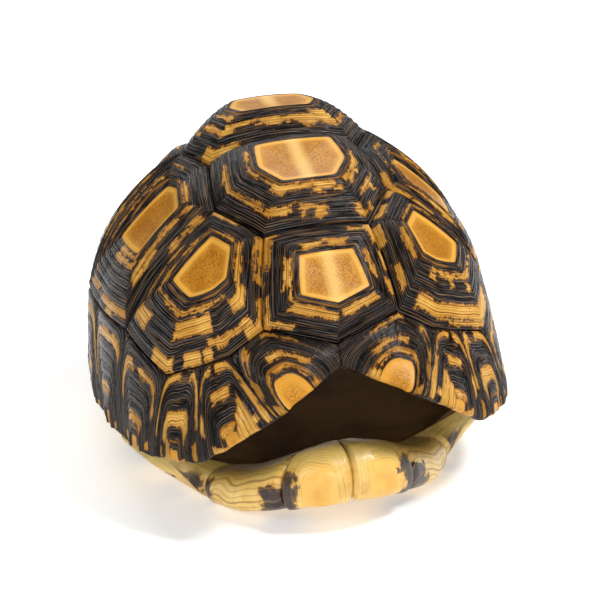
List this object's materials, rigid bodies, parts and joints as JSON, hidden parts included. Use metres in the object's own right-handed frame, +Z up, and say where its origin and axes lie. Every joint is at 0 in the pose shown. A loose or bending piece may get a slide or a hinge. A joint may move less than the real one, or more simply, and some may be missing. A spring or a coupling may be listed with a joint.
{
  "type": "tortoise shell",
  "caption": "Emptied tortoise shell: a high dome of raised, growth-ringed scutes over a flat plastron, open at the neck, the legs and the tail.",
  "frame": {"origin": "on the flat underside, at the middle of the bounding box in X and Y", "axes": "+Z up through the dome, -Y towards the neck opening, +Y towards the tail, X across; the animal's left side is +X"},
  "size_m": [0.1038, 0.1478, 0.0888],
  "materials": {
    "dark_horn": "glossy dark horn with yellow-brown plates and bars",
    "banded_horn": "glossy horn in dark and tan stripes",
    "pale_horn": "satin straw-yellow horn with growth lines and dark patches",
    "bone": "matt dry bone, tan to brown"
  },
  "bodies": {
    "root": {"vertebral_1": "dark_horn", "vertebral_2": "dark_horn", "vertebral_3": "dark_horn", "vertebral_4": "dark_horn", "vertebral_5": "dark_horn", "costal_1_left": "dark_horn", "costal_2_left": "dark_horn", "costal_3_left": "dark_horn", "costal_4_left": "dark_horn", "marginal_1_left": "banded_horn", "marginal_2_left": "banded_horn", "marginal_3_left": "banded_horn", "marginal_4_left": "banded_horn", "marginal_5_left": "banded_horn", "marginal_6_left": "banded_horn", "marginal_7_left": "banded_horn", "marginal_8_left": "banded_horn", "marginal_9_left": "banded_horn", "marginal_10_left": "banded_horn", "marginal_11_left": "banded_horn", "axillary_left": "pale_horn", "inguinal_left": "pale_horn", "gular_left": "pale_horn", "humeral_left": "pale_horn", "pectoral_left": "pale_horn", "abdominal_left": "pale_horn", "femoral_left": "pale_horn", "anal_left": "pale_horn", "costal_1_right": "dark_horn", "costal_2_right": "dark_horn", "costal_3_right": "dark_horn", "costal_4_right": "dark_horn", "marginal_1_right": "banded_horn", "marginal_2_right": "banded_horn", "marginal_3_right": "banded_horn", "marginal_4_right": "banded_horn", "marginal_5_right": "banded_horn", "marginal_6_right": "banded_horn", "marginal_7_right": "banded_horn", "marginal_8_right": "banded_horn", "marginal_9_right": "banded_horn", "marginal_10_right": "banded_horn", "marginal_11_right": "banded_horn", "axillary_right": "pale_horn", "inguinal_right": "pale_horn", "gular_right": "pale_horn", "humeral_right": "pale_horn", "pectoral_right": "pale_horn", "abdominal_right": "pale_horn", "femoral_right": "pale_horn", "anal_right": "pale_horn", "supracaudal": "banded_horn", "carapace_bone": "bone", "plastron_bone": "bone"}
  },
  "joints": []
}
